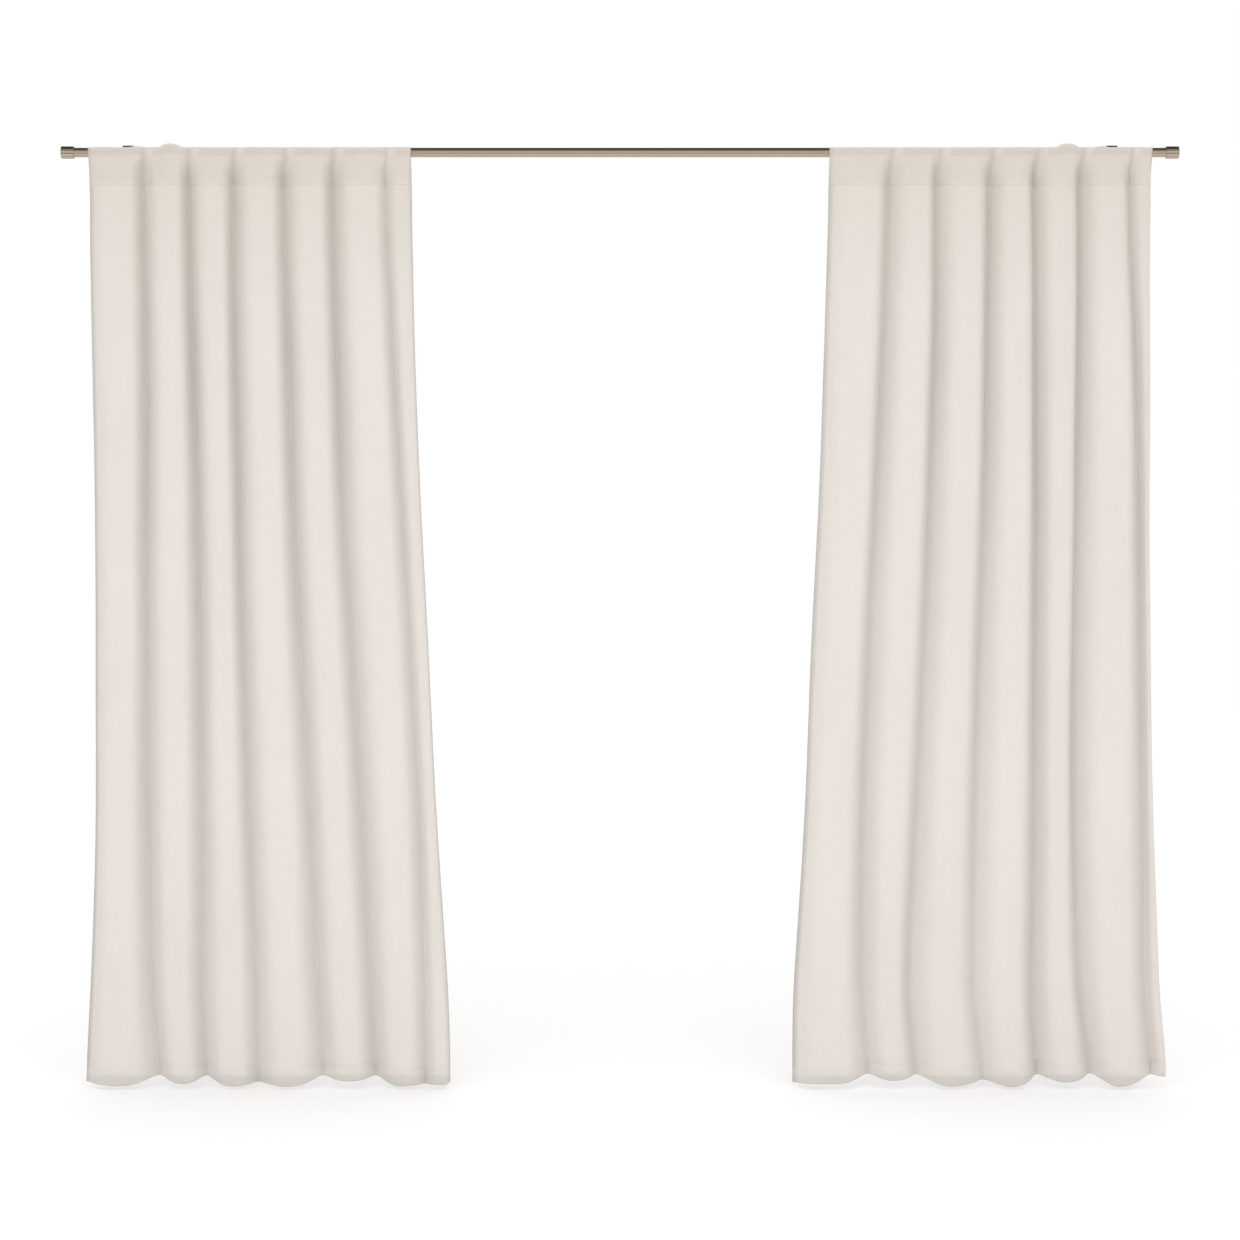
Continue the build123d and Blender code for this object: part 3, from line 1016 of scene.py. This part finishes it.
class CURTAIN_OT_tabs(bpy.types.Operator):
    """Sews the back tabs that the rod runs through"""

    bl_idname = "curtain.tabs"
    bl_label = "Sew Back Tabs"

    def execute(self, context):
        cloth = context.scene.curtain_cloth
        linen = cloth_material("Tab Linen", cloth.tab, 0.15, slub=0.05)
        thread = thread_material("Tab Thread", cloth.thread)
        for panel in PANELS:
            for k in range(PLEATS):
                node = f"{panel}_tab_{k + 1}"
                band, length = tab_loop(node, linen)
                bars = tab_stitching(node, thread)
                for piece in (band, bars):
                    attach(piece, body_of(node))
                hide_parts(node)
        return {"FINISHED"}


class CURTAIN_OT_metalwork(bpy.types.Operator):
    """Finishes the rod, caps, brackets and screws"""

    bl_idname = "curtain.metalwork"
    bl_label = "Finish Metalwork"

    def execute(self, context):
        metal = context.scene.curtain_metal
        polish = metal_material("Polished Champagne", metal.polish, 0.14, 0.08)
        satin = metal_material("Satin Champagne", metal.satin, 0.3, 0.25)
        steel = metal_material("Zinc Plate", metal.steel, 0.38, 0.3)
        finishes = {"rod_metal": polish, "bracket_metal": satin, "screw_steel": steel, "plain_steel": steel}
        for part in frame["record"]["subparts"]:
            finish = finishes.get(part["material_slot"])
            if finish:
                node = frame["nodes"][part["node"]]
                node.data.materials.clear()
                node.data.materials.append(finish)
        return {"FINISHED"}


class CURTAIN_OT_stage(bpy.types.Operator):
    """Sets the floor, the light and the camera"""

    bl_idname = "curtain.stage"
    bl_label = "Set Stage"

    def execute(self, context):
        stage = context.scene.curtain_stage
        lay_floor(stage)
        hang_lights()
        aim_camera(stage)
        return {"FINISHED"}


def lay_floor(stage, half_size=14.0):
    """A pale floor under the hem. The metal mirrors the room's bands and not the floor."""
    bm = bmesh.new()
    bmesh.ops.create_grid(bm, x_segments=1, y_segments=1, size=half_size)
    low = CAD_BOX[0][2] - stage.floor_gap
    bmesh.ops.translate(bm, verts=bm.verts, vec=(0.0, 0.0, low))
    floor = add_object("floor", bm, floor_material(), smooth=False)
    floor.visible_glossy = False


# Heights in the room, from straight down to straight up, and how bright the metal sees them
ROOM_BANDS = (
    (0.0, 0.85),
    (0.04, 0.72),
    (0.17, 1.15),
    (0.27, 0.3),
    (0.36, 0.2),
    (0.45, 1.05),
    (0.56, 1.0),
    (0.66, 0.42),
    (0.85, 0.4),
    (0.95, 0.1),
    (1.0, 0.01),
)


# How bright the room is for the cloth, on the side of the camera and behind the rod
ROOM_FRONT = 1.19
ROOM_BACK = 1.0


def world_light():
    """A white room for the cloth; the metal sees it banded, with dark overhead."""
    world = bpy.data.worlds.new("Studio")
    bpy.context.scene.world = world
    world.use_nodes = True
    tree = world.node_tree
    tree.nodes.clear()
    link = tree.links.new
    place = tree.nodes.new("ShaderNodeTexCoord")
    split = tree.nodes.new("ShaderNodeSeparateXYZ")
    link(place.outputs["Generated"], split.inputs[0])
    height = add(tree, "ShaderNodeMapRange")
    height.inputs["From Min"].default_value = -1.0
    link(split.outputs["Z"], height.inputs["Value"])
    ramp = tree.nodes.new("ShaderNodeValToRGB")
    elements = ramp.color_ramp.elements
    while len(elements) < len(ROOM_BANDS):
        elements.new(0.5)
    for element, (level, value) in zip(elements, ROOM_BANDS):
        element.position = level
        element.color = (value, value, value, 1.0)
    link(height.outputs[0], ramp.inputs[0])
    front = add(tree, "ShaderNodeMapRange")
    front.inputs["From Min"].default_value = -1.0
    front.inputs["To Min"].default_value = ROOM_FRONT
    front.inputs["To Max"].default_value = ROOM_BACK
    link(split.outputs["Y"], front.inputs["Value"])
    lights = {name: tree.nodes.new("ShaderNodeBackground") for name in ("soft", "shiny", "white")}
    link(front.outputs[0], lights["soft"].inputs["Strength"])
    link(ramp.outputs["Color"], lights["shiny"].inputs["Color"])
    for name in ("soft", "white"):
        lights[name].inputs["Color"].default_value = (1.0, 1.0, 1.0, 1.0)
    path = tree.nodes.new("ShaderNodeLightPath")
    shown = lights["soft"].outputs[0]
    for ray, name in (("Is Glossy Ray", "shiny"), ("Is Camera Ray", "white")):
        mix = tree.nodes.new("ShaderNodeMixShader")
        link(path.outputs[ray], mix.inputs[0])
        link(shown, mix.inputs[1])
        link(lights[name].outputs[0], mix.inputs[2])
        shown = mix.outputs[0]
    out = tree.nodes.new("ShaderNodeOutputWorld")
    link(shown, out.inputs["Surface"])


def soft_box(name, place, aim, size, watts):
    """One soft light, aimed at a point and unseen by the camera and in the metal."""
    light = bpy.data.lights.new(name, "AREA")
    light.shape = "RECTANGLE"
    light.size, light.size_y = size
    light.energy = watts
    obj = bpy.data.objects.new(name, light)
    bpy.context.scene.collection.objects.link(obj)
    obj.location = place
    obj.rotation_euler = (Vector(aim) - Vector(place)).to_track_quat("-Z", "Y").to_euler()
    obj.visible_glossy = False
    obj.visible_camera = False


def hang_lights():
    """The white room and one wide soft key, low in front of the curtains."""
    world_light()
    soft_box("key", place=(0.0, -4.2, -1.85), aim=(0.0, 0.0, -2.2), size=(5.0, 1.2), watts=39.0)


def aim_camera(stage):
    """A long lens square on to the rod, held level."""
    data = bpy.data.cameras.new("camera")
    camera = bpy.data.objects.new("camera", data)
    bpy.context.scene.collection.objects.link(camera)
    camera.location = (0.0, ROD_AXIS.y - stage.distance, stage.eye)
    camera.rotation_euler = (math.radians(90), 0.0, 0.0)
    data.sensor_width = 36.0
    data.lens = data.sensor_width * stage.distance / stage.view_width
    data.shift_y = (stage.centre - stage.eye) / stage.view_width
    bpy.context.scene.camera = camera
    bpy.context.scene.view_settings.view_transform = "Standard"


class CURTAIN_PT_sidebar(bpy.types.Panel):
    """Lists the steps and the sizes of the curtains"""

    bl_idname = "CURTAIN_PT_sidebar"
    bl_label = "Curtains on a Rod"
    bl_space_type = "VIEW_3D"
    bl_region_type = "UI"
    bl_category = "Curtains"

    def draw(self, context):
        for group in ("curtain_cloth", "curtain_metal", "curtain_stage"):
            settings = getattr(context.scene, group)
            box = self.layout.box()
            for name in settings.bl_rna.properties.keys():
                if name not in ("rna_type", "name"):
                    box.prop(settings, name)
        for operator in OPERATORS:
            self.layout.operator(operator.bl_idname)


SETTINGS = {
    "curtain_cloth": ClothSettings,
    "curtain_metal": MetalSettings,
    "curtain_stage": StageSettings,
}
OPERATORS = (CURTAIN_OT_panels, CURTAIN_OT_tabs, CURTAIN_OT_metalwork, CURTAIN_OT_stage)


def register():
    """Makes the settings, operators and panel known to Blender."""
    for name, group in SETTINGS.items():
        bpy.utils.register_class(group)
        setattr(bpy.types.Scene, name, PointerProperty(type=group))
    for operator in OPERATORS:
        bpy.utils.register_class(operator)
    bpy.utils.register_class(CURTAIN_PT_sidebar)


def unregister():
    """Removes them again."""
    bpy.utils.unregister_class(CURTAIN_PT_sidebar)
    for operator in reversed(OPERATORS):
        bpy.utils.unregister_class(operator)
    for name, group in SETTINGS.items():
        delattr(bpy.types.Scene, name)
        bpy.utils.unregister_class(group)


def main():
    """Builds everything in order."""
    register()
    bpy.ops.curtain.panels()
    bpy.ops.curtain.tabs()
    bpy.ops.curtain.metalwork()
    bpy.ops.curtain.stage()


if __name__ == "__main__":
    main()
